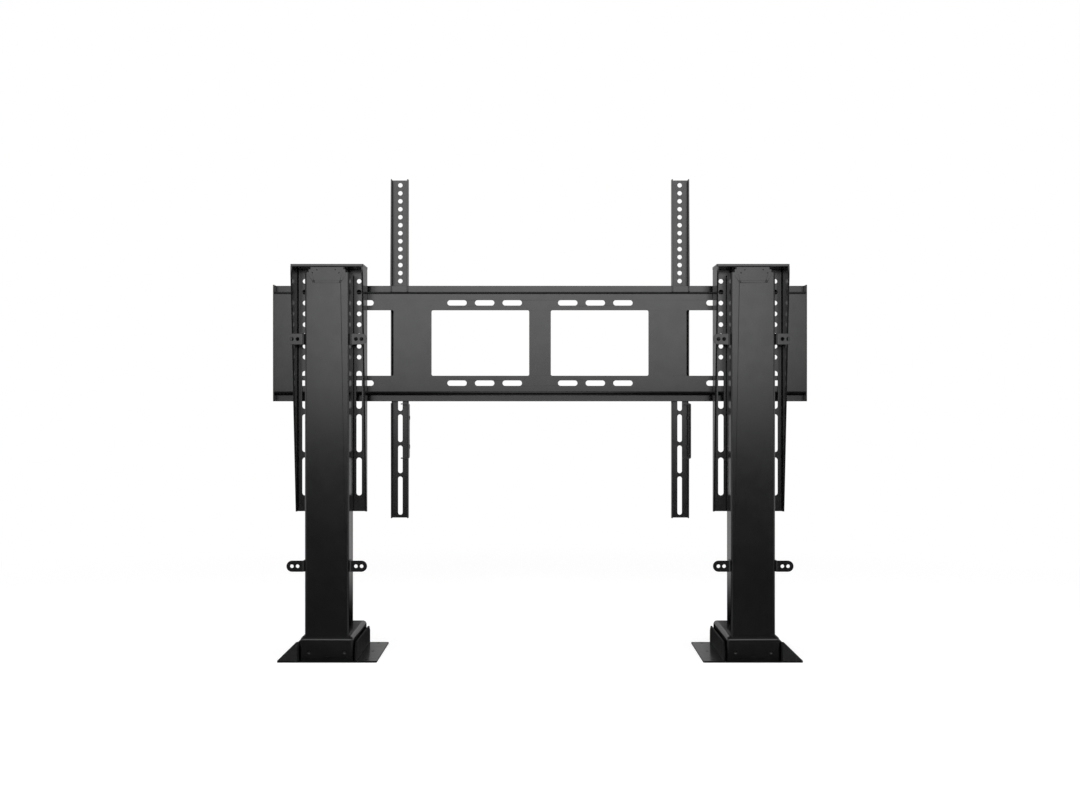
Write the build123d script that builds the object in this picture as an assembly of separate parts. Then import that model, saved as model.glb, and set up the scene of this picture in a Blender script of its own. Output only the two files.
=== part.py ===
from build123d import *
import os

os.makedirs("parts", exist_ok=True)

# TV lift on two telescoping columns, in its lowest state, in millimetres.
# X runs across the lift, Y from the wall side to the screen side, Z up from the floor.
# The origin lies on the floor under the middle of the two base plates.

# Shared clearances
overrun = 5.0  # how far a cutting tool passes a face
seat_gap = 0.3  # between parts that slide or turn past each other
running_gap = 0.05  # radial clearance of a shaft in its bore
press_gap = 0.02  # radial clearance of a pressed or screwed-in piece

# Base plate, one under each column
column_spacing = 768.0  # between the two column axes
base_width = 180.0
base_depth = 220.0
base_sheet = 3.0
base_corner = 4.0
base_hole = 6.0
base_hole_side_inset = 19.0  # hole centre to the side edge
base_hole_end_inset = 14.0  # hole centre to the front or rear edge
wall_y = -base_depth / 2  # plane of the wall behind the lift
column_x = column_spacing / 2

# Side ears, welded strips beside the foot cover
ear_sheet = 3.0
ear_top = 36.0  # height above the floor
ear_chamfer_length = 12.0
ear_chamfer_height = 10.0
ear_gap = 2.5  # between ear and foot cover

# Foot cover over motor and gearbox
cover_side_room = 8.0  # column side to the cover's side
cover_front_room = 9.0  # cover to the front edge of the base plate
cover_top = 47.0
cover_sheet = 2.0
cover_bend = 7.0
cover_corner = 5.0
cover_column_gap = 0.5
cover_screw_hole = 5.5
cover_screw_inset = 16.0  # from the cover's side
cover_screw_height = 18.0
cover_slot_length = 7.0
cover_slot_width = 2.5
cover_slot_height = 11.7
cable_hole = 12.0
cable_height = 16.0
grommet_lip = 2.0
grommet_bore = 7.0

# Outer column tube
outer_width = 80.0
outer_depth = 60.0
outer_wall = 2.0
outer_corner = 3.5
outer_length = 710.0
outer_setback = 3.0  # rear face of the tube in front of the wall plane
notch_width = 6.8  # first step in the tube's upper corners
notch_height = 9.6
notch_inner_width = 10.2  # second, narrower step above it
notch_inner_height = 4.2
guide_hole = 4.5
guide_hole_pitch = 48.4
guide_hole_drop = 26.3
guide_slot_width = 1.2
guide_slot_depth = 1.0
guide_slot_angle = 50.0  # from level, rising towards the middle of the lift
gear_opening_gap = 2.0  # around the gearbox where it leaves the tube

# Wall lugs
lug_sheet = 3.0
lug_bend = 2.0  # inner radius
lug_height = 20.0
lug_length = 32.5  # column side to the end of the lug
lug_side_leg = 28.0
lug_hole = 6.5
lug_hole_outer = 22.75  # column side to hole centre
lug_hole_inner = 12.5
lug_low = 173.7  # centre height of the lower pair
lug_high_drop = 130.2  # top of the tube to the centre of the upper pair

# Telescoping stages: each tube runs inside the last one
stage_gap = 2.0
stage_wall = 2.0
stage_corner = 3.0
middle_foot_gap = 2.7  # lower spindle's collar to the foot of the middle tube
middle_drop = 12.0  # top of the middle tube below the top of the outer one
inner_foot_gap = 3.7  # underside of the upper spindle's hub to the foot of the inner tube
top_plate_gap = 1.0  # between the outer tube and the top plate

# Glide pads
pad_height = 30.0
pad_margin = 4.0  # pad to the sides of the inner tube
pad_edge = 9.0  # pad to the mouth of its tube

# Worm gearbox and motor
gearbox_height = 38.0
gearbox_boss_gap = 8.0  # boss to the tube's front and rear walls
gearbox_floor = 5.0
tunnel_offset = 17.0  # worm axis to spindle axis
tunnel_width = 32.0
tunnel_rear_gap = 2.0  # to the tube's rear wall
tunnel_overhang = 4.0  # in front of the tube, where the motor is flanged on
gearbox_chamfer = 2.0
motor_radius = 19.0
motor_length = 98.0
motor_height = 23.0
motor_cap_radius = 13.0
motor_cap_length = 5.0
motor_chamfer = 2.0

# Lower spindle, turned by the gearbox
spindle_gap = 1.0  # radial, between the two spindles
lower_top_gap = 5.0  # its top below the top of the upper spindle
journal_step = 2.0  # radius of the screw to the radius of its journal
journal_end_gap = 0.5
collar_step = 4.0  # radius of the screw to the radius of its collar
collar_height = 4.0
bearing_height = 4.0
groove_width = 3.0
groove_depth = 2.0

# Upper spindle, a hollow screw keyed on the lower one
upper_wall = 4.0
upper_top_gap = 24.0  # its top below the top plate
hub_step = 2.0  # radius of the screw to the radius of its hub
hub_height = 12.0
key_side_gap = 0.1

# Nuts and the blocks that hold them
carrier_height = 20.0
lower_nut_wall = 6.0
upper_nut_wall = 4.0
block_wall = 2.9  # least wall of the block round the upper nut
nut_block_gap = 3.7  # hub of the upper spindle to the block
nut_block_height = 24.0
block_fit = 0.1  # block to tube wall
block_round = 2.0

# Carriage that hangs from each top plate
carriage_side_gap = 22.5  # column side to the flange
carriage_front_gap = 6.0  # column to the web
carriage_sheet = 3.0
carriage_bend = 2.0
carriage_length = 446.0
top_plate = 4.0
top_plate_corner = 2.0
taper_start = 14.0  # straight flange edge below the top plate
taper_foot = 13.0  # flange depth at the lower end
carriage_hole = 8.5
carriage_hole_inset = 15.5  # hole centre to the side of the carriage
carriage_hole_drop = 21.6
carriage_hole_pitch = 20.0
carriage_hole_count = 8
carriage_slot_width = 10.0
carriage_slot_length = 70.0
carriage_slot_drop = 222.0
carriage_slot_pitch = 80.0
carriage_slot_count = 3

# Mounting plate across both carriages
plate_overhang = 107.5  # column axis to the end plate
plate_sheet = 2.5
plate_drop = 135.4  # top plate to the plate's centre line
plate_ledge = 94.4  # centre line to the upper ledge
plate_lip_height = 13.35  # ledge to the lip's edge
plate_step = 26.0  # web to lip
plate_bend = 2.5
window_width = 180.5
window_rail = 33.9  # ledge to the window's edge
window_corner = 3.0
window_inner_edge = 20.0  # mid-plane to the first window
window_outer_reach = 67.2  # column axis to the far edge of the second window
slot_length = 36.0
slot_width = 10.0
slot_rail = 20.2  # ledge to a row of slots
slot_pitch = 51.0
slot_inner_first = 51.3  # mid-plane to the first slot
slot_outer_inset = 58.6  # first slot of the outer group to the column axis
slot_count = 3  # in each group
end_sheet = 2.0

# Bolts between carriage and mounting plate
bolt_radius = 4.0
bolt_hole_gap = 0.2
bolt_head_radius = 8.5
bolt_head_height = 2.4
bolt_tail = 11.0  # length beyond the plate
bolt_inner_slot = 1  # which outer slot takes the inner bolt
bolt_outward = 34.0  # outer bolt from the column axis
nut_flange_radius = 8.5
nut_flange_height = 1.6
nut_across_flats = 13.0
nut_height = 6.5

# Arms that carry the screen
arm_x = 262.5
arm_width = 32.5
arm_sheet = 2.0
arm_bend = 1.0
arm_reach = 20.5  # lip of the mounting plate to the arm's face
arm_rise = 307.4  # centre line of the plate to the arm's top
arm_fall = 326.2  # centre line of the plate to the arm's foot
arm_depth_top = 19.0
arm_depth_low = 20.0
arm_depth_bottom = 18.0
arm_hook_width = 6.2  # behind the lip
arm_hook_rise = 15.65  # from the lip's edge up to the widest place
arm_hook_drop = 11.35  # from the lip's edge down to the hook's tip
arm_lip_gap = 0.5
arm_hook_gap = 0.8
arm_relief_drop = 3.35  # lower lip's edge to the relief
arm_relief_height = 20.0
arm_relief_depth = 6.0  # flange left beside the web in the relief
arm_hole = 8.5
arm_hole_drop = 9.0
arm_hole_pitch = 15.0
arm_hole_count = 13
arm_slot_width = 8.5
arm_slot_length = 52.0
arm_slot_pitch = 58.5
arm_slot_drop = 50.45  # lower lip's edge to the first short slot below it
arm_slot_above = 4  # further slots up behind the plate
arm_slot_below = 1
arm_long_slot = 72.0
arm_long_slot_rise = 41.3  # arm's foot to the slot's centre

# Safety latch on the +X flange of each arm
latch_sheet = 2.0
latch_drop = 3.85  # lower lip's edge to the latch
latch_length = 103.0
latch_rear_depth = 31.0  # arm's face to the latch's rear edge
latch_front_depth = 9.0  # arm's face to the latch's front edge
latch_tab = 15.0
latch_tab_gap = 0.6  # tab to the arm's flange
latch_travel = 12.0
rivet_radius = 2.4
rivet_head_radius = 4.5
rivet_head_height = 1.2
rivet_depth = 14.5  # arm's face to the rivet axis
rivet_rise = 22.0  # latch's foot to the lower rivet
rivet_drop = 27.0  # latch's top to the upper rivet
latch_slot_gap = 0.2

# Places that follow from the sizes above
column_y = wall_y + outer_setback + outer_depth / 2
outer_top = base_sheet + outer_length
cover_width = outer_width + 2 * cover_side_room
cover_depth = base_depth - cover_front_room
lug_high = outer_top - lug_high_drop
middle_width = outer_width - 2 * (outer_wall + stage_gap)
middle_depth = outer_depth - 2 * (outer_wall + stage_gap)
inner_width = middle_width - 2 * (stage_wall + stage_gap)
inner_depth = middle_depth - 2 * (stage_wall + stage_gap)
middle_top = outer_top - middle_drop
plate_under = outer_top + top_plate_gap  # underside of the top plate
pad_sheet = stage_gap - seat_gap
pad_broad = inner_width - 2 * pad_margin
pad_narrow = inner_depth - 2 * pad_margin

# Spindles and nuts fill the width that the inner tube leaves
upper_nut_radius = inner_depth / 2 - stage_wall - block_fit - block_wall
upper_radius = upper_nut_radius - upper_nut_wall
upper_bore = upper_radius - upper_wall
lower_radius = upper_bore - spindle_gap
lower_nut_radius = lower_radius + lower_nut_wall
journal_radius = lower_radius - journal_step
collar_radius = lower_radius + collar_step
hub_radius = upper_radius + hub_step

# Drive, from the floor up
tunnel_rear = outer_depth / 2 - outer_wall - tunnel_rear_gap
tunnel_front = outer_depth / 2 + tunnel_overhang
gearbox_boss_radius = outer_depth / 2 - outer_wall - gearbox_boss_gap
gearbox_top = base_sheet + gearbox_height
collar_bottom = gearbox_top + bearing_height + seat_gap
middle_bottom = collar_bottom + collar_height + middle_foot_gap
carrier_top = middle_bottom + carrier_height
hub_bottom = carrier_top + bearing_height + seat_gap
inner_bottom = hub_bottom + inner_foot_gap
nut_block_bottom = hub_bottom + hub_height + nut_block_gap
upper_top = plate_under - upper_top_gap
lower_top = upper_top - lower_top_gap

# Carriage and mounting plate
carriage_width = outer_width + 2 * (carriage_side_gap + carriage_sheet)
carriage_bottom = plate_under - carriage_length
# the web's front face meets the mounting plate
carriage_front = column_y + outer_depth / 2 + carriage_front_gap + carriage_sheet
plate_width = column_spacing + 2 * plate_overhang
plate_middle = plate_under - plate_drop
plate_lip = plate_ledge + plate_lip_height
lip_rear = carriage_front + plate_step
lip_front = lip_rear + plate_sheet
lip_top = plate_middle + plate_lip
lip_bottom = plate_middle - plate_lip
window_height = 2 * (plate_ledge - window_rail)
window_outer_edge = column_x + window_outer_reach - window_width
slot_height = plate_ledge - slot_rail
slot_outer_first = column_x - slot_outer_inset
bolt_inner_x = slot_outer_first + bolt_inner_slot * slot_pitch
bolt_outer_x = column_x + bolt_outward

# Arms and latches, which hang on the lips
arm_face = lip_front + arm_reach
arm_top = plate_middle + arm_rise
arm_bottom = plate_middle - arm_fall
arm_relief_low = lip_bottom - arm_relief_drop
slot_rear = lip_rear - arm_hook_gap
hook_rear = slot_rear - arm_hook_width
latch_top = lip_bottom - latch_drop
latch_bottom = latch_top - latch_length
rivet_y = arm_face - rivet_depth
rivet_low = latch_bottom + rivet_rise
rivet_high = latch_top - rivet_drop


def box_between(x_range, y_range, z_range):
    """A box given by its lowest and highest place along each axis."""
    size = [high - low for low, high in (x_range, y_range, z_range)]
    middle = [(high + low) / 2 for low, high in (x_range, y_range, z_range)]
    return Pos(*middle) * Box(*size)


def rod_z(radius, low, high):
    return Pos(0, 0, (low + high) / 2) * Cylinder(radius, high - low)


def rod_y(radius, low, high):
    return Pos(0, (low + high) / 2, 0) * Rot(90, 0, 0) * Cylinder(radius, high - low)


def slot_y(length, width, low, high, upright=False):
    """A round-ended slot cutter that runs along Y."""
    outline = SlotOverall(length, width, rotation=90 if upright else 0)
    return Pos(0, high, 0) * extrude(Plane.XZ * outline, high - low)


def tube(width, depth, wall, corner, low, high):
    """A rectangular tube with rounded corners, centred on the Z axis."""
    outline = RectangleRounded(width, depth, corner)
    outline -= RectangleRounded(width - 2 * wall, depth - 2 * wall, corner - wall)
    return Pos(0, 0, low) * extrude(outline, high - low)


def folded_sheet(points, sheet, radii):
    """The section of a folded sheet, from the line of one of its faces."""
    line = FilletPolyline(*points, radius=radii)
    return make_face(line.offset_2d(sheet, kind=Kind.INTERSECTION, side=Side.LEFT))


def place(piece, side):
    """Puts a piece made about the column axis on the left (-1) or right (1) column."""
    turned = mirror(piece, about=Plane.YZ) if side < 0 else piece
    return Pos(side * column_x, 0, 0) * turned


def make_base_plate():
    outline = RectangleRounded(base_width, base_depth, base_corner)
    plate = extrude(outline, base_sheet)
    row_x = base_width / 2 - base_hole_side_inset
    row_y = base_depth / 2 - base_hole_end_inset
    for x in (-row_x, row_x):
        for y in (-row_y, 0, row_y):
            plate -= Pos(x, y, 0) * rod_z(base_hole / 2, -overrun, base_sheet + overrun)
    return plate


def make_side_ears():
    rear = wall_y
    front = wall_y + base_depth
    shoulder = ear_top - ear_chamfer_height
    outline = Polyline(
        (rear, base_sheet),
        (front, base_sheet),
        (front, shoulder),
        (front - ear_chamfer_length, ear_top),
        (rear + ear_chamfer_length, ear_top),
        (rear, shoulder),
        close=True,
    )
    inner = cover_width / 2 + ear_gap
    ear = Pos(inner, 0, 0) * extrude(Plane.YZ * make_face(outline), ear_sheet)
    return ear + mirror(ear, about=Plane.YZ)


def make_foot_cover():
    half = cover_width / 2
    front = wall_y + cover_depth
    shell = box_between((-half, half), (wall_y, front), (base_sheet, cover_top))
    shell = fillet(shell.edges().filter_by(Axis.Z), cover_corner)
    shell = fillet(shell.edges().group_by(Axis.Z)[-1], cover_bend)
    hollow = box_between(
        (-half + cover_sheet, half - cover_sheet),
        (wall_y + cover_sheet, front - cover_sheet),
        (base_sheet - overrun, cover_top - cover_sheet),
    )
    hollow = fillet(hollow.edges().filter_by(Axis.Z), cover_corner - cover_sheet)
    hollow = fillet(hollow.edges().group_by(Axis.Z)[-1], cover_bend - cover_sheet)
    shell -= hollow
    shell -= box_between(
        (-outer_width / 2 - cover_column_gap, outer_width / 2 + cover_column_gap),
        (
            column_y - outer_depth / 2 - cover_column_gap,
            column_y + outer_depth / 2 + cover_column_gap,
        ),
        (cover_top - cover_bend, cover_top + overrun),
    )
    screw_x = cover_width / 2 - cover_screw_inset
    for x in (-screw_x, screw_x):
        screw_hole = rod_y(cover_screw_hole / 2, wall_y - overrun, wall_y + overrun)
        shell -= Pos(x, 0, cover_screw_height) * screw_hole
    slot = slot_y(cover_slot_length, cover_slot_width, wall_y - overrun, wall_y + overrun)
    shell -= Pos(0, 0, cover_slot_height) * slot
    shell -= Pos(0, 0, cable_height) * rod_y(cable_hole / 2, front - overrun, front + overrun)
    return shell


def make_cable_grommet():
    front = wall_y + cover_depth
    body = rod_y(cable_hole / 2, front - cover_sheet, front)
    for low in (front - cover_sheet - grommet_lip, front):
        body += rod_y(cable_hole / 2 + grommet_lip, low, low + grommet_lip)
    low, high = front - cover_sheet - grommet_lip, front + grommet_lip
    body -= rod_y(grommet_bore / 2, low - overrun, high + overrun)
    return Pos(0, 0, cable_height) * body


def make_outer_tube():
    body = tube(outer_width, outer_depth, outer_wall, outer_corner, base_sheet, outer_top)
    half_x = outer_width / 2
    half_y = outer_depth / 2 + overrun
    steps = ((notch_width, notch_height), (notch_inner_width, notch_inner_height))
    for width, height in steps:
        cut = box_between(
            (half_x - width, half_x + overrun),
            (-half_y, half_y),
            (outer_top - height, outer_top + overrun),
        )
        body -= cut + mirror(cut, about=Plane.YZ)
    for x in (-guide_hole_pitch / 2, guide_hole_pitch / 2):
        hole = rod_y(guide_hole / 2, -half_y, -outer_depth / 2 + overrun)
        body -= Pos(x, 0, outer_top - guide_hole_drop) * hole
    half_opening = tunnel_width / 2 + gear_opening_gap
    body -= box_between(
        (tunnel_offset - half_opening, tunnel_offset + half_opening),
        (outer_depth / 2 - outer_wall - overrun, half_y),
        (base_sheet - overrun, gearbox_top + gear_opening_gap),
    )
    return Pos(0, column_y, 0) * body


def make_wall_lugs():
    side = outer_width / 2
    points = ((side + lug_length, wall_y), (side, wall_y), (side, wall_y + lug_side_leg))
    section = folded_sheet(reversed(points), lug_sheet, lug_bend + lug_sheet)
    lug = Pos(0, 0, -lug_height / 2) * extrude(section, lug_height)
    end_edges = lug.edges().filter_by(Axis.Y).group_by(Axis.X)[-1]
    lug = fillet(end_edges, lug_height / 2 - press_gap)
    for x in (lug_hole_inner, lug_hole_outer):
        hole = rod_y(lug_hole / 2, wall_y - overrun, wall_y + overrun)
        lug -= Pos(side + x, 0, 0) * hole
    lugs = Part()
    for height in (lug_low, lug_high):
        raised = Pos(0, 0, height) * lug
        lugs += [raised, mirror(raised, about=Plane.YZ)]
    return lugs


def make_pads(width, depth, low, outward):
    """Four pads on the walls of a tube whose pad side measures width by depth."""
    high = low + pad_height
    inner_x = width / 2 if outward else width / 2 - pad_sheet
    inner_y = depth / 2 if outward else depth / 2 - pad_sheet
    broad = (-pad_broad / 2, pad_broad / 2)
    narrow = (-pad_narrow / 2, pad_narrow / 2)
    front = box_between(broad, (inner_y, inner_y + pad_sheet), (low, high))
    right = box_between((inner_x, inner_x + pad_sheet), narrow, (low, high))
    pads = Part() + [front, right, mirror(front, Plane.XZ), mirror(right, Plane.YZ)]
    return Pos(0, column_y, 0) * pads


def make_gearbox():
    outline = Circle(gearbox_boss_radius)
    tunnel = Rectangle(tunnel_width, tunnel_rear + tunnel_front)
    outline += Pos(tunnel_offset, (tunnel_front - tunnel_rear) / 2) * tunnel
    body = Pos(0, 0, base_sheet) * extrude(outline, gearbox_height)
    body = chamfer(body.edges().group_by(Axis.Z)[-1], gearbox_chamfer)
    body -= rod_z(
        journal_radius + running_gap, base_sheet + gearbox_floor, gearbox_top + overrun
    )
    return Pos(0, column_y, 0) * body


def make_motor():
    rear = column_y + tunnel_front
    can = rod_y(motor_radius, rear, rear + motor_length)
    can = chamfer(can.edges().group_by(Axis.Y)[-1], motor_chamfer)
    cap_start = rear + motor_length
    can += rod_y(motor_cap_radius, cap_start, cap_start + motor_cap_length)
    return Pos(tunnel_offset, 0, motor_height) * can


def make_bearing(outer, bore, low):
    ring = rod_z(outer, low, low + bearing_height)
    ring -= rod_z(bore + running_gap, low - overrun, low + bearing_height + overrun)
    return Pos(0, column_y, 0) * ring


def make_lower_spindle():
    low = base_sheet + gearbox_floor + journal_end_gap
    body = rod_z(journal_radius, low, collar_bottom)
    body += rod_z(collar_radius, collar_bottom, collar_bottom + collar_height)
    screw = rod_z(lower_radius, collar_bottom + collar_height, lower_top)
    groove = box_between(
        (lower_radius - groove_depth, lower_radius + overrun),
        (-groove_width / 2, groove_width / 2),
        (collar_bottom + collar_height, lower_top + overrun),
    )
    screw -= groove + mirror(groove, Plane.YZ)
    return Pos(0, column_y, 0) * (body + screw)


def make_upper_spindle():
    hub_top = hub_bottom + hub_height
    body = rod_z(upper_radius, hub_top, upper_top)
    body += rod_z(hub_radius, hub_bottom, hub_top)
    body -= rod_z(upper_bore, hub_top, upper_top + overrun)
    body -= rod_z(lower_radius + running_gap, hub_bottom - overrun, hub_top)
    half_key = groove_width / 2 - key_side_gap
    key = box_between(
        (lower_radius - groove_depth + seat_gap, lower_radius + groove_depth),
        (-half_key, half_key),
        (hub_bottom, hub_top),
    )
    return Pos(0, column_y, 0) * (body + key + mirror(key, Plane.YZ))


def make_block(width, depth, corner, bore, low, high):
    """A block that fills the foot of a tube and holds a nut."""
    fit = 2 * (stage_wall + block_fit)
    outline = RectangleRounded(width - fit, depth - fit, corner)
    outline -= Circle(bore)
    return Pos(0, column_y, low) * extrude(outline, high - low)


def make_nut(outer, bore, low, high):
    ring = rod_z(outer - press_gap, low, high)
    ring -= rod_z(bore + running_gap, low - overrun, high + overrun)
    return Pos(0, column_y, 0) * ring


def make_top_plate():
    plate = box_between(
        (-carriage_width / 2, carriage_width / 2),
        (wall_y, carriage_front),
        (plate_under, plate_under + top_plate),
    )
    return fillet(plate.edges().filter_by(Axis.Z), top_plate_corner)


def carriage_bolt_places():
    """Bolt places about the column axis, as outward distance and height."""
    heights = (plate_middle - slot_height, plate_middle + slot_height)
    return [(x - column_x, z) for x in (bolt_inner_x, bolt_outer_x) for z in heights]


def make_carriage():
    half = carriage_width / 2
    points = ((half, wall_y), (half, carriage_front), (-half, carriage_front), (-half, wall_y))
    section = folded_sheet(points, carriage_sheet, carriage_bend + carriage_sheet)
    body = Pos(0, 0, carriage_bottom) * extrude(section, carriage_length)
    taper = Polyline(
        (wall_y - overrun, plate_under - taper_start),
        (wall_y, plate_under - taper_start),
        (carriage_front - taper_foot, carriage_bottom),
        (carriage_front - taper_foot, carriage_bottom - overrun),
        (wall_y - overrun, carriage_bottom - overrun),
        close=True,
    )
    reach = half + overrun
    body -= Pos(-reach, 0, 0) * extrude(Plane.YZ * make_face(taper), 2 * reach)
    low, high = carriage_front - carriage_sheet - overrun, carriage_front + overrun
    hole = rod_y(carriage_hole / 2, low, high)
    slot = slot_y(carriage_slot_length, carriage_slot_width, low, high, upright=True)
    cuts = []
    row_x = half - carriage_hole_inset
    for x in (-row_x, row_x):
        for i in range(carriage_hole_count):
            z = plate_under - carriage_hole_drop - i * carriage_hole_pitch
            cuts.append(Pos(x, 0, z) * hole)
        for i in range(carriage_slot_count):
            z = plate_under - carriage_slot_drop - i * carriage_slot_pitch
            cuts.append(Pos(x, 0, z) * slot)
    bolt_hole = rod_y(bolt_radius + bolt_hole_gap, low, high)
    cuts += [Pos(x, 0, z) * bolt_hole for x, z in carriage_bolt_places()]
    return body - cuts


def make_carriage_bolts():
    web = carriage_front - carriage_sheet
    tail = carriage_front + plate_sheet + bolt_tail
    bolt = rod_y(bolt_radius, web, tail)
    head = rod_y(bolt_head_radius, web - bolt_head_height, web)
    rim = head.edges().group_by(Axis.Y)[0]
    bolt += chamfer(rim, bolt_head_height / 2)
    return Part() + [Pos(x, 0, z) * bolt for x, z in carriage_bolt_places()]


def make_flange_nuts():
    seat = carriage_front + plate_sheet
    hexagon = RegularPolygon(nut_across_flats / 2, 6, major_radius=False)
    nut = Pos(0, seat + nut_height, 0) * extrude(Plane.XZ * hexagon, nut_height)
    nut += rod_y(nut_flange_radius, seat, seat + nut_flange_height)
    nut -= rod_y(bolt_radius + running_gap, seat - overrun, seat + nut_height + overrun)
    return Part() + [Pos(x, 0, z) * nut for x, z in carriage_bolt_places()]


def make_mounting_plate():
    points = (
        (lip_rear, plate_lip),
        (lip_rear, plate_ledge),
        (carriage_front, plate_ledge),
        (carriage_front, -plate_ledge),
        (lip_rear, -plate_ledge),
        (lip_rear, -plate_lip),
    )
    outside = plate_bend + plate_sheet
    radii = (plate_bend, outside, outside, plate_bend)
    section = Plane.YZ * folded_sheet(points, plate_sheet, radii)
    body = Pos(-plate_width / 2, 0, plate_middle) * extrude(section, plate_width)
    low, high = carriage_front - overrun, carriage_front + plate_sheet + overrun
    window = Pos(0, high, 0) * extrude(
        Plane.XZ * RectangleRounded(window_width, window_height, window_corner), high - low
    )
    slot = slot_y(slot_length, slot_width, low, high)
    cuts = []
    for side in (-1, 1):
        for edge in (window_inner_edge, window_outer_edge):
            x = side * (edge + window_width / 2)
            cuts.append(Pos(x, 0, plate_middle) * window)
        for first in (slot_inner_first, slot_outer_first):
            for i in range(slot_count):
                for z in (-slot_height, slot_height):
                    place_x = side * (first + i * slot_pitch)
                    cuts.append(Pos(place_x, 0, plate_middle + z) * slot)
    return body - cuts


def make_end_plates():
    half = plate_width / 2
    end = box_between(
        (half, half + end_sheet),
        (carriage_front, lip_front),
        (plate_middle - plate_lip, plate_middle + plate_lip),
    )
    return end + mirror(end, about=Plane.YZ)


def flange_profile():
    """Outline of an arm's flange beyond the web, as the part to keep."""
    rear_top = arm_face - arm_depth_top
    rear_low = arm_face - arm_depth_low
    rear_bottom = arm_face - arm_depth_bottom
    hook_tip = lip_top - arm_hook_drop
    slot_front = lip_front + arm_lip_gap
    slot_top = lip_top + seat_gap
    relief = arm_face - arm_relief_depth
    relief_top = arm_relief_low + arm_relief_height
    return make_face(
        Polyline(
            (arm_face, arm_top),
            (rear_top, arm_top),
            (hook_rear, lip_top + arm_hook_rise),
            (hook_rear, hook_tip),
            (slot_rear, hook_tip),
            (slot_rear, slot_top),
            (slot_front, slot_top),
            (slot_front, relief_top + arm_relief_depth),
            (relief, relief_top),
            (relief, arm_relief_low),
            (rear_low, arm_relief_low),
            (rear_bottom, arm_bottom),
            (arm_face, arm_bottom),
            close=True,
        )
    )


def make_arm():
    half = arm_width / 2
    points = ((half, hook_rear), (half, arm_face), (-half, arm_face), (-half, hook_rear))
    section = folded_sheet(points, arm_sheet, arm_bend + arm_sheet)
    body = Pos(0, 0, arm_bottom) * extrude(section, arm_top - arm_bottom)
    keep = extrude(Plane.YZ * flange_profile(), arm_width + 2 * overrun)
    body &= Pos(-half - overrun, 0, 0) * keep
    low, high = arm_face - arm_sheet - overrun, arm_face + overrun
    cuts = []
    for i in range(arm_hole_count):
        z = arm_top - arm_hole_drop - i * arm_hole_pitch
        cuts.append(Pos(0, 0, z) * rod_y(arm_hole / 2, low, high))
    short = slot_y(arm_slot_length, arm_slot_width, low, high, upright=True)
    for i in range(-arm_slot_below, arm_slot_above + 1):
        cuts.append(Pos(0, 0, lip_bottom - arm_slot_drop + i * arm_slot_pitch) * short)
    long_slot = slot_y(arm_long_slot, arm_slot_width, low, high, upright=True)
    cuts.append(Pos(0, 0, arm_bottom + arm_long_slot_rise) * long_slot)
    body -= cuts
    for z in (rivet_low, rivet_high):
        shank = Rot(0, 90, 0) * Cylinder(rivet_radius + press_gap, 2 * overrun)
        body -= Pos(half, rivet_y, z) * shank
    return body


def make_arm_rivets():
    flange = arm_width / 2
    inside = flange - arm_sheet - rivet_head_height
    outside = flange + seat_gap + latch_sheet + seat_gap
    length = outside + rivet_head_height - inside
    turn = Rot(0, 90, 0)
    rivet = Pos(inside + length / 2, 0, 0) * turn * Cylinder(rivet_radius, length)
    for low in (inside, outside):
        head = Cylinder(rivet_head_radius, rivet_head_height)
        rivet += Pos(low + rivet_head_height / 2, 0, 0) * turn * head
    return Part() + [Pos(0, rivet_y, z) * rivet for z in (rivet_low, rivet_high)]


def make_latch():
    inner = arm_width / 2 + seat_gap
    outer = inner + latch_sheet
    tab_end = outer - latch_tab
    points = ((tab_end, latch_top), (outer, latch_top), (outer, latch_bottom), (tab_end, latch_bottom))
    bend = arm_bend + latch_sheet
    section = Plane.XZ * folded_sheet(reversed(points), latch_sheet, bend)
    front = arm_face - latch_front_depth
    body = Pos(0, front, 0) * extrude(section, latch_rear_depth - latch_front_depth)
    body -= box_between(
        (tab_end - overrun, inner),
        (arm_face - arm_depth_low - latch_tab_gap, front + overrun),
        (latch_bottom - overrun, latch_top + overrun),
    )
    slot_width_x = 2 * (rivet_radius + latch_slot_gap)
    slot = SlotOverall(slot_width_x + latch_travel, slot_width_x, rotation=90)
    cutter = extrude(Plane.YZ * slot, 2 * overrun)
    for z in (rivet_low, rivet_high):
        body -= Pos(inner - overrun, rivet_y, z + latch_travel / 2) * cutter
    return body


def make_cover_screws():
    """Small screws through the cover into the tube's rear wall."""
    head = rod_y(cover_screw_hole / 2 - press_gap, wall_y, wall_y + cover_sheet)
    screw_x = cover_width / 2 - cover_screw_inset
    return Part() + [Pos(x, 0, cover_screw_height) * head for x in (-screw_x, screw_x)]


def make_guide_screws():
    """Slotted screws through the outer tube's rear wall, which press on the rear glide pad."""
    face = wall_y + outer_setback
    screw = rod_y(guide_hole / 2 - press_gap, face, face + outer_wall)
    slot = box_between(
        (-guide_hole / 2, guide_hole / 2),
        (face - overrun, face + guide_slot_depth),
        (-guide_slot_width / 2, guide_slot_width / 2),
    )
    screw -= Rot(0, guide_slot_angle, 0) * slot
    screw_x = guide_hole_pitch / 2
    return Part() + [Pos(x, 0, outer_top - guide_hole_drop) * screw for x in (-screw_x, screw_x)]


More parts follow.
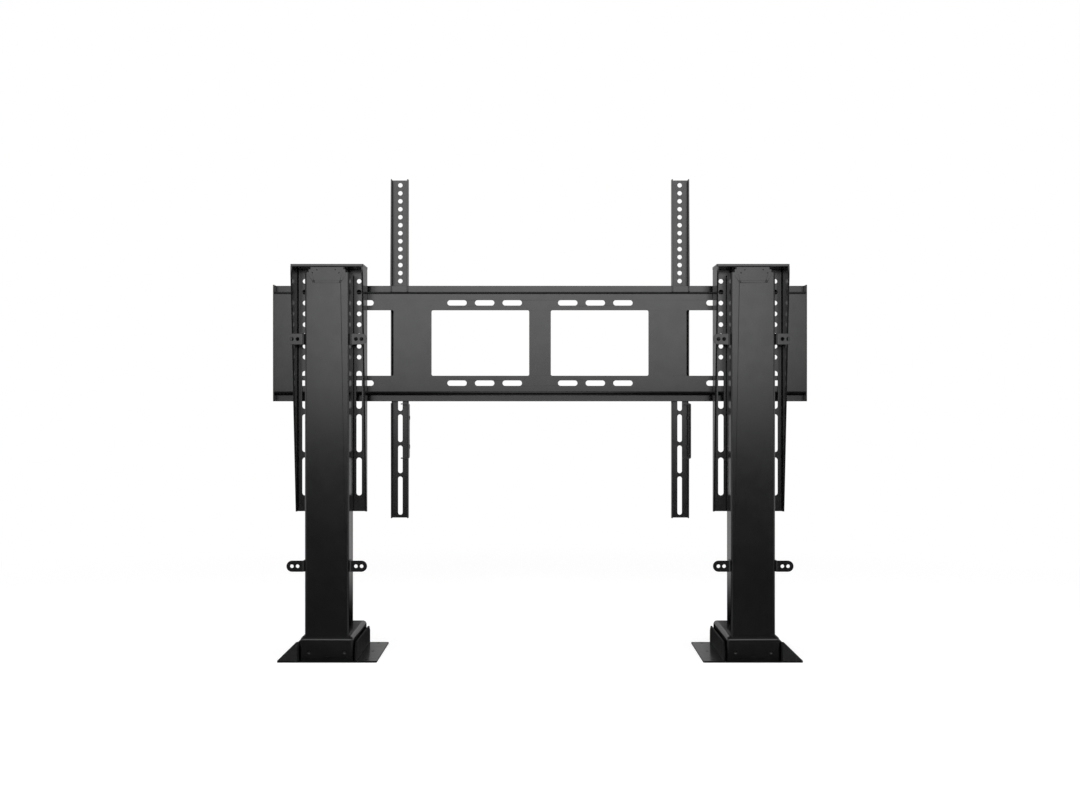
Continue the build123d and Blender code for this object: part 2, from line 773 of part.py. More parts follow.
nodes = {}
for name, side in (("left", -1), ("right", 1)):
    column_pieces = {
        "base_plate": make_base_plate(),
        "side_ears": make_side_ears(),
        "foot_cover": make_foot_cover(),
        "outer_tube": make_outer_tube(),
        "wall_lugs": make_wall_lugs(),
        "outer_head_pads": make_pads(
            outer_width - 2 * outer_wall,
            outer_depth - 2 * outer_wall,
            outer_top - notch_height - pad_edge - pad_height,
            outward=False,
        ),
        "gearbox": make_gearbox(),
        "motor": make_motor(),
        "lower_bearing": make_bearing(collar_radius, journal_radius, gearbox_top),
        "lower_spindle": make_lower_spindle(),
        "middle_tube": Pos(0, column_y, 0)
        * tube(middle_width, middle_depth, stage_wall, stage_corner, middle_bottom, middle_top),
        "middle_foot_pads": make_pads(middle_width, middle_depth, middle_bottom, outward=True),
        "middle_head_pads": make_pads(
            middle_width - 2 * stage_wall,
            middle_depth - 2 * stage_wall,
            middle_top - pad_edge - pad_height,
            outward=False,
        ),
        "nut_carrier": make_block(
            middle_width, middle_depth, block_round, lower_nut_radius, middle_bottom, carrier_top
        ),
        "lower_nut": make_nut(lower_nut_radius, lower_radius, middle_bottom, carrier_top),
        "upper_bearing": make_bearing(hub_radius, lower_radius, carrier_top),
        "upper_spindle": make_upper_spindle(),
        "inner_tube": Pos(0, column_y, 0)
        * tube(inner_width, inner_depth, stage_wall, stage_corner, inner_bottom, plate_under),
        "inner_foot_pads": make_pads(inner_width, inner_depth, inner_bottom, outward=True),
        "nut_block": make_block(
            inner_width,
            inner_depth,
            block_round,
            upper_nut_radius,
            nut_block_bottom,
            nut_block_bottom + nut_block_height,
        ),
        "upper_nut": make_nut(
            upper_nut_radius, upper_radius, nut_block_bottom, nut_block_bottom + nut_block_height
        ),
        "top_plate": make_top_plate(),
        "carriage": make_carriage(),
    }
    for piece, shape in column_pieces.items():
        nodes[f"{name}_{piece}"] = place(shape, side)
    nodes[f"{name}_arm"] = Pos(side * arm_x, 0, 0) * make_arm()
    nodes[f"{name}_arm_rivets"] = Pos(side * arm_x, 0, 0) * make_arm_rivets()
    nodes[f"{name}_latch"] = Pos(side * arm_x, 0, 0) * make_latch()
shared_pieces = {
    "cover_screws": make_cover_screws(),
    "guide_screws": make_guide_screws(),
    "cable_grommets": make_cable_grommet(),
    "carriage_bolts": make_carriage_bolts(),
    "flange_nuts": make_flange_nuts(),
}
for piece, shape in shared_pieces.items():
    nodes[piece] = Part() + [place(shape, side) for side in (-1, 1)]
nodes["mounting_plate"] = make_mounting_plate()
nodes["end_plates"] = make_end_plates()

for name, shape in nodes.items():
    export_step(shape, f"parts/{name}.step")
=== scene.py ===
import math

import bmesh
import bpy
from mathutils import Matrix


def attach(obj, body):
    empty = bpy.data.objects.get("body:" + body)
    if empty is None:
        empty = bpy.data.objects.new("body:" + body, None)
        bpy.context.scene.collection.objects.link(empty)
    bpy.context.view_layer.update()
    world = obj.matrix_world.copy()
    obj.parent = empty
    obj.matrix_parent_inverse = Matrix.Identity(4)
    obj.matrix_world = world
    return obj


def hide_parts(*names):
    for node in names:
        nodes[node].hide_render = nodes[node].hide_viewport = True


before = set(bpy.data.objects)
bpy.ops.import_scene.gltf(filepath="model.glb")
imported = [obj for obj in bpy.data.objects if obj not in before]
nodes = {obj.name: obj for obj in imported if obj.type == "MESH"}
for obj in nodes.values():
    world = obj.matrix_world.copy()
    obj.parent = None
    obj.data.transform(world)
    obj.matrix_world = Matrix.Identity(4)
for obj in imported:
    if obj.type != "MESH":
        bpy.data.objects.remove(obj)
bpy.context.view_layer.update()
print("frame loaded:", len(nodes), "nodes")

mm = 0.001
sides = {"left": -1, "right": 1}
# column's axis to the middle of the lift, in millimetres and in metres
columnAway = 384.0
columnX = columnAway * mm


# Camera: level, straight at the wall side, between the two columns
camera = {"place": (0.0, -2.81, 0.464), "lens": 50.0, "sensor": 36.0, "clipEnd": 100.0}


def makeCamera():
    data = bpy.data.cameras.new("camera")
    data.lens = camera["lens"]
    data.sensor_width = camera["sensor"]
    data.clip_end = camera["clipEnd"]
    made = bpy.data.objects.new("camera", data)
    made.location = camera["place"]
    made.rotation_euler = (math.radians(90), 0, 0)
    bpy.context.scene.collection.objects.link(made)
    bpy.context.scene.camera = made


# Small helpers for node materials
class Shader:
    def __init__(self, name):
        self.material = bpy.data.materials.new(name)
        self.material.use_nodes = True
        self.tree = self.material.node_tree
        self.tree.nodes.clear()
        self.output = self.add("ShaderNodeOutputMaterial")

    def add(self, kind, **values):
        made = self.tree.nodes.new(kind)
        for key, value in values.items():
            setattr(made, key, value)
        return made

    def link(self, source, target):
        self.tree.links.new(source, target)

    def math(self, operation, *operands):
        made = self.add("ShaderNodeMath", operation=operation)
        for socket, value in zip(made.inputs, operands):
            if isinstance(value, float):
                socket.default_value = value
            else:
                self.link(value, socket)
        return made.outputs[0]

    def ramp(self, source, low, high, outLow, outHigh):
        made = self.add("ShaderNodeMapRange", interpolation_type="SMOOTHSTEP")
        for name, value in (("From Min", low), ("From Max", high), ("To Min", outLow), ("To Max", outHigh)):
            made.inputs[name].default_value = value
        self.link(source, made.inputs["Value"])
        return made.outputs["Result"]

    def place(self):
        split = self.add("ShaderNodeSeparateXYZ")
        self.link(self.add("ShaderNodeNewGeometry").outputs["Position"], split.inputs[0])
        return split.outputs["X"], split.outputs["Y"], split.outputs["Z"]

    def noise(self, scale, detail=3.0, roughness=0.5):
        made = self.add("ShaderNodeTexNoise")
        made.inputs["Scale"].default_value = scale
        made.inputs["Detail"].default_value = detail
        made.inputs["Roughness"].default_value = roughness
        self.link(self.add("ShaderNodeTexCoord").outputs["Object"], made.inputs["Vector"])
        return made.outputs["Fac"]


# Finishes: dark and light are the two ends of each colour's slight variation, rough those of its roughness.
# Grain and bump are the fineness and the depth of its texture, and shine is set only where it isn't full.
powder = {"dark": (0.0035, 0.0035, 0.0037), "light": (0.0055, 0.0055, 0.0058), "grain": 1100.0,
          "bump": 0.000006}
finishes = {
    "sheetPowder": {**powder, "rough": (0.165, 0.195)},
    # painted shade: a copy of the powder coat for the ears with less shine, so that their sides render dark
    # as if shaded
    "shadedEarPowder": {**powder, "rough": (0.5, 0.58), "shine": 0.15},
    "tubePowder": {"dark": (0.0032, 0.0032, 0.0034), "light": (0.005, 0.005, 0.0053), "rough": (0.16, 0.185),
                   "grain": 1300.0, "bump": 0.000005},
    "blackOxide": {"dark": (0.006, 0.006, 0.006), "light": (0.014, 0.0135, 0.013), "rough": (0.28, 0.4),
                   "grain": 2200.0, "bump": 0.000006},
    "motorPaint": {"dark": (0.012, 0.012, 0.013), "light": (0.02, 0.02, 0.021), "rough": (0.3, 0.38),
                   "grain": 1500.0, "bump": 0.00001},
    "nylonPad": {"dark": (0.6, 0.6, 0.56), "light": (0.68, 0.68, 0.65), "rough": (0.4, 0.5),
                 "grain": 600.0, "bump": 0.00002},
    "grommetRubber": {"dark": (0.008, 0.008, 0.008), "light": (0.014, 0.014, 0.014), "rough": (0.55, 0.7),
                      "grain": 1800.0, "bump": 0.00002},
    "castAlloy": {"dark": (0.38, 0.38, 0.39), "light": (0.52, 0.52, 0.53), "rough": (0.42, 0.55),
                  "grain": 1400.0, "bump": 0.00003, "metal": 1.0},
    "groundSteel": {"dark": (0.5, 0.5, 0.5), "light": (0.62, 0.62, 0.61), "rough": (0.22, 0.32),
                    "grain": 1600.0, "bump": 0.00001, "metal": 1.0},
    "turnedBrass": {"dark": (0.6, 0.43, 0.2), "light": (0.74, 0.56, 0.28), "rough": (0.25, 0.35),
                    "grain": 1600.0, "bump": 0.00001, "metal": 1.0},
}


# Noise that every finish shares: cloudy colour, finer patches of roughness, and the grain's bump
mottle = {"clouds": 14.0, "cloudDetail": 4.0, "cloudSpan": (0.35, 0.65), "patches": 45.0, "patchDetail": 5.0,
          "patchRoughness": 0.6, "patchSpan": (0.3, 0.7), "grainDetail": 2.0, "bumpStrength": 0.5}


def makeFinish(name, finish):
    made = Shader(name)
    surface = made.add("ShaderNodeBsdfPrincipled")
    surface.inputs["Metallic"].default_value = finish.get("metal", 0.0)
    surface.inputs["Specular IOR Level"].default_value = finish.get("shine", 0.5)
    colour = made.add("ShaderNodeMix", data_type="RGBA")
    clouds = made.noise(mottle["clouds"], mottle["cloudDetail"])
    made.link(made.ramp(clouds, *mottle["cloudSpan"], 0.0, 1.0), colour.inputs["Factor"])
    # the mix node's colour sockets have no names of their own: 6 and 7 in, 2 out
    colour.inputs[6].default_value = (*finish["dark"], 1.0)
    colour.inputs[7].default_value = (*finish["light"], 1.0)
    made.link(colour.outputs[2], surface.inputs["Base Color"])
    patches = made.noise(mottle["patches"], mottle["patchDetail"], mottle["patchRoughness"])
    made.link(made.ramp(patches, *mottle["patchSpan"], *finish["rough"]), surface.inputs["Roughness"])
    bump = made.add("ShaderNodeBump")
    bump.inputs["Strength"].default_value = mottle["bumpStrength"]
    bump.inputs["Distance"].default_value = finish["bump"]
    made.link(made.noise(finish["grain"], mottle["grainDetail"]), bump.inputs["Height"])
    made.link(bump.outputs["Normal"], surface.inputs["Normal"])
    made.link(surface.outputs["BSDF"], made.output.inputs["Surface"])
    return made.material


materials = {name: makeFinish(name, finish) for name, finish in finishes.items()}

finishOfPiece = {
    "outer_tube": "tubePowder", "middle_tube": "tubePowder", "inner_tube": "tubePowder",
    # the ears take the shaded copy of the coat, a painted shade
    "side_ears": "shadedEarPowder",
    "outer_head_pads": "nylonPad", "middle_foot_pads": "nylonPad", "middle_head_pads": "nylonPad",
    "inner_foot_pads": "nylonPad", "nut_block": "nylonPad",
    "gearbox": "castAlloy", "nut_carrier": "castAlloy", "motor": "motorPaint",
    "lower_bearing": "groundSteel", "upper_bearing": "groundSteel",
    "lower_spindle": "groundSteel", "upper_spindle": "groundSteel",
    "lower_nut": "turnedBrass", "upper_nut": "turnedBrass",
    "cover_screws": "blackOxide", "guide_screws": "blackOxide", "carriage_bolts": "blackOxide",
    "flange_nuts": "blackOxide", "arm_rivets": "blackOxide", "cable_grommets": "grommetRubber",
}


def pieceOf(node):
    side, _, rest = node.partition("_")
    return rest if side in sides else node


def finishNodes():
    for name, node in nodes.items():
        node.data.materials.clear()
        node.data.materials.append(materials[finishOfPiece.get(pieceOf(name), "sheetPowder")])
    print("finishes set")


# Edges: welded vertices, smooth bends and a fine rounding, as powder coat leaves on every sheet edge
edges = {"rounding": 0.35 * mm, "steps": 2, "bendAngle": 40.0, "edgeAngle": 50.0, "weld": 0.001 * mm,
         "faceWeight": 100}


def makeSmoothing():
    group = bpy.data.node_groups.new("smoothBends", "GeometryNodeTree")
    group.interface.new_socket("Geometry", in_out="INPUT", socket_type="NodeSocketGeometry")
    group.interface.new_socket("Geometry", in_out="OUTPUT", socket_type="NodeSocketGeometry")
    start = group.nodes.new("NodeGroupInput")
    end = group.nodes.new("NodeGroupOutput")
    merge = group.nodes.new("GeometryNodeMergeByDistance")
    merge.inputs["Distance"].default_value = edges["weld"]
    faces = group.nodes.new("GeometryNodeSetShadeSmooth")
    faces.domain = "FACE"
    sharp = group.nodes.new("GeometryNodeSetShadeSmooth")
    sharp.domain = "EDGE"
    sharp.inputs["Shade Smooth"].default_value = False
    angle = group.nodes.new("GeometryNodeInputMeshEdgeAngle")
    compare = group.nodes.new("FunctionNodeCompare")
    compare.operation = "GREATER_THAN"
    compare.inputs["B"].default_value = math.radians(edges["bendAngle"])
    link = group.links.new
    link(start.outputs[0], merge.inputs["Geometry"])
    link(merge.outputs["Geometry"], faces.inputs["Geometry"])
    link(faces.outputs["Geometry"], sharp.inputs["Geometry"])
    link(angle.outputs["Unsigned Angle"], compare.inputs["A"])
    link(compare.outputs["Result"], sharp.inputs["Selection"])
    link(sharp.outputs["Geometry"], end.inputs[0])
    return group


def roundEdges():
    smoothing = makeSmoothing()
    for node in nodes.values():
        smooth = node.modifiers.new("smoothBends", "NODES")
        smooth.node_group = smoothing
        bevel = node.modifiers.new("fineEdges", "BEVEL")
        bevel.width = edges["rounding"]
        bevel.segments = edges["steps"]
        bevel.limit_method = "ANGLE"
        bevel.angle_limit = math.radians(edges["edgeAngle"])
        bevel.use_clamp_overlap = True
        flat = node.modifiers.new("flatFaces", "WEIGHTED_NORMAL")
        flat.keep_sharp = True
        flat.weight = edges["faceWeight"]
    print("edges rounded")


# Small hardware: each piece is a stack of rings along its own axis. A ring's radius and height are in
# millimetres, each a number or a function of the turn. A dome's centre is a ring too small to see.
hardware = {"crease": 38.0, "centre": 0.02}


def value(given, turn):
    return given(turn) if callable(given) else given


def ringMesh(rings, segments, hollow=False):
    bm = bmesh.new()
    turns = [2 * math.pi * i / segments for i in range(segments)]
    loops = []
    for radius, height in rings:
        ring = []
        for turn in turns:
            reach = value(radius, turn)
            point = (reach * math.cos(turn), reach * math.sin(turn), value(height, turn))
            ring.append(bm.verts.new([v * mm for v in point]))
        loops.append(ring)
    if hollow:
        loops.append(loops[0])
    for low, high in zip(loops, loops[1:]):
        for i in range(segments):
            j = (i + 1) % segments
            bm.faces.new((low[i], low[j], high[j], high[i]))
    if not hollow:
        bm.faces.new(reversed(loops[0]))
        bm.faces.new(loops[-1])
    bmesh.ops.recalc_face_normals(bm, faces=bm.faces)
    mesh = bpy.data.meshes.new("piece")
    bm.to_mesh(mesh)
    bm.free()
    return mesh


# Radius of a regular polygon whose corners are cut back
def polygon(count, flats, corner):
    step = 2 * math.pi / count
    return lambda turn: min(flats / 2 / math.cos(turn % step - step / 2), corner)


def makeCopies(name, single, places, body, replaced=()):
    bm = bmesh.new()
    for place in places:
        bm.from_mesh(single)
        bmesh.ops.transform(bm, matrix=place, verts=bm.verts[-len(single.vertices):])
    mesh = bpy.data.meshes.new(name)
    bm.to_mesh(mesh)
    bm.free()
    bpy.data.meshes.remove(single)
    mesh.shade_smooth()
    made = bpy.data.objects.new(name, mesh)
    made.data.materials.append(materials["blackOxide"])
    bpy.context.scene.collection.objects.link(made)
    split = made.modifiers.new("sharpEdges", "EDGE_SPLIT")
    split.split_angle = math.radians(hardware["crease"])
    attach(made, body)
    if replaced:
        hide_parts(*replaced)
    return made


# Stands a piece on a point in millimetres, its axis towards the screen side
def along(x, y, z, spin=0.0):
    point = Matrix.Translation((x * mm, y * mm, z * mm))
    return point @ Matrix.Rotation(-math.pi / 2, 4, "X") @ Matrix.Rotation(math.radians(spin), 4, "Z")


# Carriage bolts, M8: low dome, square neck, threaded tail through the nut
bolt = {"head": 8.5, "dome": 2.4, "neck": 7.8, "neckCorner": 5.2, "neckLength": 3.0, "major": 4.0,
        "minor": 3.4, "pitch": 1.25, "rows": (504.4, 652.8), "columns": (376.4, 418.0), "underHead": -41.0,
        "tail": -24.5, "centre": 0.1, "domeRings": 8, "domeRim": 0.25, "pointed": 0.3, "pointSlope": 0.8,
        "threadRings": 6, "spin": 0.0, "segments": 32}


def boltRings():
    length = bolt["tail"] - bolt["underHead"]
    rings = [(bolt["centre"], -bolt["dome"])]
    for i in range(1, bolt["domeRings"] + 1):
        lean = i / bolt["domeRings"] * math.pi / 2
        share = bolt["domeRim"] + (1 - bolt["domeRim"]) * math.cos(lean)
        rings.append((bolt["head"] * math.sin(lean), -bolt["dome"] * share))
    neck = polygon(4, bolt["neck"], bolt["neckCorner"])
    rings += [(bolt["head"], 0.0), (neck, 0.0), (neck, bolt["neckLength"])]

    def thread(height):
        def radius(turn):
            phase = (height / bolt["pitch"] - turn / (2 * math.pi)) % 1.0
            crest = bolt["minor"] + (bolt["major"] - bolt["minor"]) * (1 - abs(2 * phase - 1))
            return min(crest, bolt["minor"] - bolt["pointed"] + (length - height) * bolt["pointSlope"])
        return radius

    steps = round((length - bolt["neckLength"]) / bolt["pitch"] * bolt["threadRings"])
    for i in range(steps + 1):
        height = bolt["neckLength"] + (length - bolt["neckLength"]) * i / steps
        rings.append((thread(height), height))
    return rings


# Where bolts and nuts sit; a spin, in degrees for each millimetre of place, turns each one differently
def boltPlaces(depth, spin):
    return [along(side * x, depth, z, spin * (x + z)) for side in sides.values()
            for x in bolt["columns"] for z in bolt["rows"]]


# Flange nuts, 13 mm across flats, chamfered, on the plate's screen side
nut = {"flange": 8.5, "flangeHeight": 1.6, "rim": 0.3, "rimHeight": 1.0, "flats": 13.0, "height": 6.5,
       "shoulder": 1.17, "shoulderRise": 0.2, "hexagonRise": 0.4, "crown": 0.96, "chamfer": 30.0, "bore": 3.9,
       "boreEdge": 0.5, "seat": -35.5, "spin": 7.3, "segments": 60}


def nutRings():
    hexagon = polygon(6, nut["flats"], nut["flats"])
    top = nut["height"]
    crown = nut["flats"] / 2 * nut["crown"]
    flange, bore, low = nut["flange"], nut["bore"], nut["flangeHeight"]

    def chamfer(turn):
        return top - max(hexagon(turn) - crown, 0.0) * math.tan(math.radians(nut["chamfer"]))

    return [
        (bore, 0.0), (flange - nut["rim"], 0.0), (flange, nut["rim"]), (flange, nut["rimHeight"]),
        (nut["flats"] / 2 * nut["shoulder"], low + nut["shoulderRise"]), (hexagon, low + nut["hexagonRise"]),
        (hexagon, chamfer), (crown, top), (bore + nut["boreEdge"], top), (bore, top - nut["boreEdge"]),
    ]


# Cover screws: dished heads with a cross recess, set a little into the cover's holes
screw = {"radius": 2.65, "face": -1.3, "rim": 0.93, "rimHeight": 0.25, "flat": 0.9, "dish": 0.5,
         "inside": -108.0, "height": 18.0, "apart": 32.0, "cross": 0.35, "reach": 1.3, "depth": 0.6,
         "spin": 20.0, "rings": 15, "segments": 96}


def screwRings():
    def surface(radius):
        def height(turn):
            x, y = abs(radius * math.cos(turn)), abs(radius * math.sin(turn))
            sunk = min(x, y) < screw["cross"] and max(x, y) < screw["reach"]
            dish = screw["dish"] * (1 - (radius / screw["radius"]) ** 2)
            return screw["face"] + dish + (screw["depth"] if sunk else 0.0)
        return height

    radius, face = screw["radius"], screw["face"]
    rings = [(radius, 0.0), (radius, face + screw["rimHeight"]), (radius * screw["rim"], face)]
    for i in range(screw["rings"], 0, -1):
        inner = radius * screw["flat"] * i / screw["rings"]
        rings.append((inner, surface(inner)))
    return rings + [(hardware["centre"], face + screw["dish"] + screw["depth"])]


# Four small domed pins near the top of each column
pins = {"radius": 1.3, "rise": 0.45, "sunk": 0.05, "rings": 6, "face": -107.0, "segments": 24,
        "places": ((-18.3, 707.9), (14.9, 707.9), (-26.2, 702.3), (21.7, 702.3))}


def pinRings():
    leans = [i / pins["rings"] * math.pi / 2 for i in range(pins["rings"])]
    dome = [(pins["radius"] * math.cos(lean), -pins["rise"] * math.sin(lean)) for lean in leans]
    return [(pins["radius"], pins["sunk"])] + dome + [(hardware["centre"], -pins["rise"])]


# Latch rivets: shank through arm and latch, low domed heads inside the arm and outside the latch
rivet = {"shank": 2.4, "head": 4.5, "inner": 14.25, "outer": 18.85, "innerRise": 1.0, "outerRise": 0.7,
         "centre": 0.05, "rings": 8, "armX": 262.5, "depth": -3.5, "rows": (386.0, 440.0), "segments": 40}


def rivetRings():
    head, inner, outer = rivet["head"], rivet["inner"], rivet["outer"]
    innerHead, outerHead = [], []
    for i in range(rivet["rings"] + 1):
        lean = i / rivet["rings"] * math.pi / 2
        across, up = math.sin(lean), math.cos(lean)
        innerHead.append((max(head * across, rivet["centre"]), inner - rivet["innerRise"] * up))
        outerHead.append((max(head * up, rivet["centre"]), outer + rivet["outerRise"] * across))
    shank = [(rivet["shank"], inner), (rivet["shank"], outer)]
    return innerHead + shank + outerHead


def makeHardware():
    single = ringMesh(boltRings(), bolt["segments"])
    places = boltPlaces(bolt["underHead"], bolt["spin"])
    makeCopies("bolts_detailed", single, places, "upper", ["carriage_bolts"])
    single = ringMesh(nutRings(), nut["segments"], hollow=True)
    places = boltPlaces(nut["seat"], nut["spin"])
    makeCopies("nuts_detailed", single, places, "upper", ["flange_nuts"])
    places = [along(side * columnAway + x, screw["inside"], screw["height"], screw["spin"] + x)
              for side in sides.values() for x in (-screw["apart"], screw["apart"])]
    makeCopies("screws_detailed", ringMesh(screwRings(), screw["segments"]), places, "base", ["cover_screws"])
    places = [along(side * (columnAway - x), pins["face"], z)
              for side in sides.values() for x, z in pins["places"]]
    makeCopies("column_pins", ringMesh(pinRings(), pins["segments"]), places, "base")
    for name, side in sides.items():
        places = [Matrix.Translation((side * rivet["armX"] * mm, rivet["depth"] * mm, z * mm))
                  @ Matrix.Rotation(math.pi / 2, 4, "Y") for z in rivet["rows"]]
        single = ringMesh(rivetRings(), rivet["segments"])
        makeCopies(name + "_rivets_detailed", single, places, name + "_screen_arm", [name + "_arm_rivets"])
    print("hardware made")


# Studio: pale floor, white surroundings, a tall soft panel behind the camera and a soft box overhead.
# Dark and grey cards, seen only in reflections, give the black coat its shape.
# footShadeX and footShadeY bound the painted shade under each base plate: the floor's fill fades out within
# them
studio = {"surroundLight": 0.35, "floorReach": 30.0, "floorPale": 0.8, "floorFill": 0.62, "floorKeep": 0.55,
          "shadowEnd": (1.0, 2.2), "footShadeX": (0.08, 0.09), "footShadeY": (0.1, 0.11)}
panel = {"y": -6.5, "halfWidth": 4.0, "foot": 0.002, "height": 4.0, "strength": 3.1, "edge": (0.05, 0.9),
         "side": (1.35, 2.15), "low": 0.03, "outer": 0.25, "ends": (2.6, 3.3)}
backCard = {"y": 6.0, "halfWidth": 4.0, "foot": 0.002, "height": 3.5, "grey": 0.36, "outer": 0.02,
            "side": (0.95, 1.12), "low": (0.1, 0.3), "high": (1.8, 2.4), "highGrey": 0.5}
floorCard = {"x": (-4.0, 4.0), "y": (-6.4, 6.0), "z": 0.001, "frontGrey": 0.09, "columnsY": -0.1,
             "turn": (0.0, 0.2), "wedge": (0.65, 0.25), "soft": 0.6, "middle": (0.05, 0.3),
             "rise": (0.45, 1.7), "strip": (0.6, 1.0), "farY": (1.8, 2.6), "farStrip": (0.4, 0.9)}
ceilingCard = {"x": (-4.0, 4.0), "y": (-6.4, 6.0), "z": 3.5, "grey": 0.25}
overhead = {"place": (0.0, -0.9, 3.6), "size": (3.4, 2.6), "strength": 2.6}
frontFill = {"place": (0.0, -3.4, 1.9), "size": (2.4, 1.6), "strength": 1.6, "tilt": 62.0}


# One where a camera, glossy or transmission ray looks
def backgroundSeen(tree):
    path = tree.nodes.new("ShaderNodeLightPath")
    either = tree.nodes.new("ShaderNodeMath")
    also = tree.nodes.new("ShaderNodeMath")
    either.operation = also.operation = "MAXIMUM"
    tree.links.new(path.outputs["Is Camera Ray"], either.inputs[0])
    tree.links.new(path.outputs["Is Glossy Ray"], either.inputs[1])
    tree.links.new(either.outputs[0], also.inputs[0])
    tree.links.new(path.outputs["Is Transmission Ray"], also.inputs[1])
    return also.outputs[0]


def makeWorld():
    world = bpy.data.worlds.new("surroundings")
    bpy.context.scene.world = world
    world.use_nodes = True
    tree = world.node_tree
    tree.nodes.clear()
    out = tree.nodes.new("ShaderNodeOutputWorld")
    mix = tree.nodes.new("ShaderNodeMixShader")
    for socket, strength in ((1, studio["surroundLight"]), (2, 1.0)):
        light = tree.nodes.new("ShaderNodeBackground")
        light.inputs["Color"].default_value = (1.0, 1.0, 1.0, 1.0)
        light.inputs["Strength"].default_value = strength
        tree.links.new(light.outputs[0], mix.inputs[socket])
    tree.links.new(backgroundSeen(tree), mix.inputs["Fac"])
    tree.links.new(mix.outputs[0], out.inputs["Surface"])


def makePlane(name, corners, material):
    mesh = bpy.data.meshes.new(name)
    mesh.from_pydata(corners, [], [tuple(range(len(corners)))])
    made = bpy.data.objects.new(name, mesh)
    made.data.materials.append(material)
    bpy.context.scene.collection.objects.link(made)
    return made


def lying(x, y, z):
    return [(x[0], y[0], z), (x[1], y[0], z), (x[1], y[1], z), (x[0], y[1], z)]


def standing(card):
    half, y, low, high = card["halfWidth"], card["y"], card["foot"], card["height"]
    return [(half, y, low), (-half, y, low), (-half, y, high), (half, y, high)]


def makeFloor():
    made = Shader("paleFloor")
    pale = made.add("ShaderNodeBsdfDiffuse")
    pale.inputs["Color"].default_value = (studio["floorPale"],) * 3 + (1.0,)
    white = made.add("ShaderNodeEmission")
    fill = made.add("ShaderNodeEmission")
    shaded = made.add("ShaderNodeBsdfDiffuse")
    shaded.inputs["Color"].default_value = (studio["floorKeep"],) * 3 + (1.0,)
    lit = made.add("ShaderNodeAddShader")
    made.link(shaded.outputs[0], lit.inputs[0])
    made.link(fill.outputs[0], lit.inputs[1])
    x, y, _ = made.place()
    away = made.math("SQRT", made.math("ADD", made.math("MULTIPLY", x, x), made.math("MULTIPLY", y, y)))
    seen = made.add("ShaderNodeMixShader")
    made.link(made.ramp(away, *studio["shadowEnd"], 0.0, 1.0), seen.inputs["Fac"])
    # painted shade: under the base plates the floor's fill emission fades to nothing, so the floor there and
    # through their holes reads dark
    beside = made.math("ABSOLUTE", made.math("SUBTRACT", made.math("ABSOLUTE", x), columnX))
    outside = made.math("MAXIMUM", made.ramp(beside, *studio["footShadeX"], 0.0, 1.0),
                        made.ramp(made.math("ABSOLUTE", y), *studio["footShadeY"], 0.0, 1.0))
    made.link(made.math("MULTIPLY", outside, studio["floorFill"]), fill.inputs["Strength"])
    made.link(lit.outputs[0], seen.inputs[1])
    made.link(white.outputs[0], seen.inputs[2])
    final = made.add("ShaderNodeMixShader")
    made.link(backgroundSeen(made.tree), final.inputs["Fac"])
    made.link(pale.outputs[0], final.inputs[1])
    made.link(seen.outputs[0], final.inputs[2])
    made.link(final.outputs[0], made.output.inputs["Surface"])
    reach = (-studio["floorReach"], studio["floorReach"])
    makePlane("floor", lying(reach, reach, 0.0), made.material)


def glowing(name, strengthOf):
    made = Shader(name)
    glow = made.add("ShaderNodeEmission")
    strength = strengthOf(made)
    if isinstance(strength, float):
        glow.inputs["Strength"].default_value = strength
    else:
        made.link(strength, glow.inputs["Strength"])
    made.link(glow.outputs[0], made.output.inputs["Surface"])
    return made.material


def panelGlow(made):
    x, _, z = made.place()
    up = made.ramp(z, *panel["edge"], 0.0, 1.0)
    across = made.ramp(made.math("ABSOLUTE", x), *panel["side"], 1.0, panel["outer"] / panel["strength"])
    bright = made.math("MULTIPLY", made.math("MULTIPLY", up, across), panel["strength"])
    ends = made.ramp(made.math("ABSOLUTE", x), *panel["ends"], 0.0, 1.0)
    return made.math("MAXIMUM", made.math("ADD", bright, panel["low"]), ends)


def backGlow(made):
    x, _, z = made.place()
    across = made.math("ABSOLUTE", x)
    middle = made.ramp(across, *backCard["side"], backCard["grey"], backCard["outer"])
    low = made.ramp(z, *backCard["low"], 1.0, 0.0)
    high = made.ramp(z, *backCard["high"], 0.0, backCard["highGrey"])
    beside = made.ramp(across, *backCard["side"], 0.0, 1.0)
    wings = made.math("MULTIPLY", made.math("MAXIMUM", low, high), beside)
    return made.math("MAXIMUM", middle, wings)


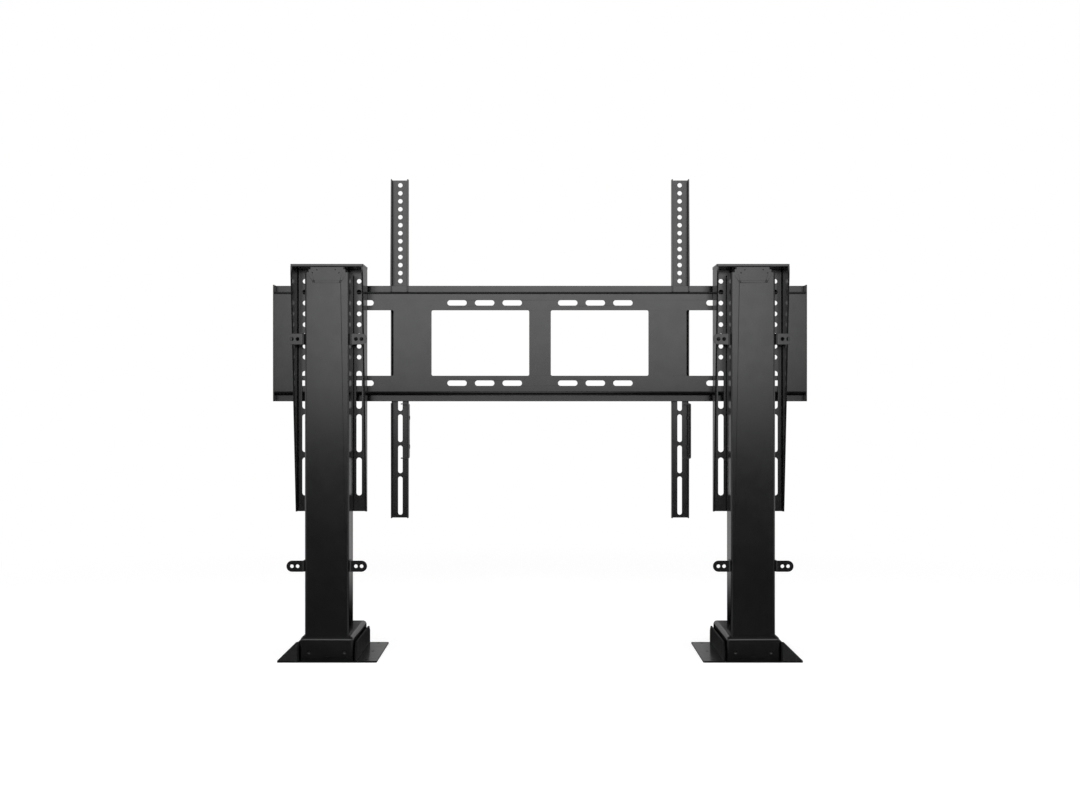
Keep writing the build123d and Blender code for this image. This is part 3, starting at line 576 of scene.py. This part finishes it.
def floorGlow(made):
    x, y, _ = made.place()
    across = made.math("ABSOLUTE", x)
    # in front: dark where the columns and arms mirror it, white elsewhere
    start, spread = floorCard["wedge"]
    ahead = made.math("SUBTRACT", floorCard["columnsY"], y)
    outerEdge = made.math("ADD", made.math("MULTIPLY", ahead, spread), start)
    grey = floorCard["frontGrey"]
    beyond = made.ramp(made.math("SUBTRACT", across, outerEdge), 0.0, floorCard["soft"], grey, 1.0)
    middle = made.ramp(across, *floorCard["middle"], 1.0, grey)
    inFront = made.ramp(ahead, *floorCard["turn"], 0.0, 1.0)
    front = made.math("MULTIPLY", made.math("MAXIMUM", beyond, middle), inFront)
    # behind: a dark strip that rises to the back card's grey, white beside it
    behind = made.ramp(ahead, *floorCard["turn"], 1.0, 0.0)
    rise = made.ramp(y, *floorCard["rise"], 0.0, backCard["grey"])
    beside = made.ramp(across, *floorCard["strip"], 0.0, 1.0)
    away = made.ramp(y, *floorCard["farY"], 0.0, 1.0)
    far = made.math("MULTIPLY", away, made.ramp(across, *floorCard["farStrip"], 0.0, 1.0))
    rear = made.math("MULTIPLY", made.math("MAXIMUM", rise, made.math("MAXIMUM", beside, far)), behind)
    return made.math("ADD", front, rear)


def makeCards():
    plane = makePlane("soft_panel", standing(panel), glowing("softPanel", panelGlow))
    plane.visible_camera = False
    plane.visible_shadow = False
    cards = (
        ("back_card", standing(backCard), backGlow),
        ("floor_card", lying(floorCard["x"], floorCard["y"], floorCard["z"]), floorGlow),
        ("ceiling_card", lying(ceilingCard["x"], ceilingCard["y"], ceilingCard["z"]),
         lambda made: ceilingCard["grey"]),
    )
    for name, corners, glow in cards:
        card = makePlane(name, corners, glowing(name, glow))
        card.visible_camera = False
        card.visible_diffuse = False
        card.visible_transmission = False
        card.visible_shadow = False


def makeLamp(name, lamp, glossy):
    data = bpy.data.lights.new(name, "AREA")
    data.shape = "RECTANGLE"
    data.size, data.size_y = lamp["size"]
    # the power that gives the lamp's face this brightness
    data.energy = lamp["strength"] * math.pi * data.size * data.size_y
    made = bpy.data.objects.new(name, data)
    made.location = lamp["place"]
    made.rotation_euler = (math.radians(lamp.get("tilt", 0.0)), 0, 0)
    made.visible_camera = False
    made.visible_glossy = glossy
    bpy.context.scene.collection.objects.link(made)


finishNodes()
roundEdges()
makeHardware()
makeWorld()
makeFloor()
makeCards()
makeLamp("overhead", overhead, False)
makeLamp("front_fill", frontFill, False)
makeCamera()
bpy.context.scene.view_settings.view_transform = "Standard"
print("studio and camera made")
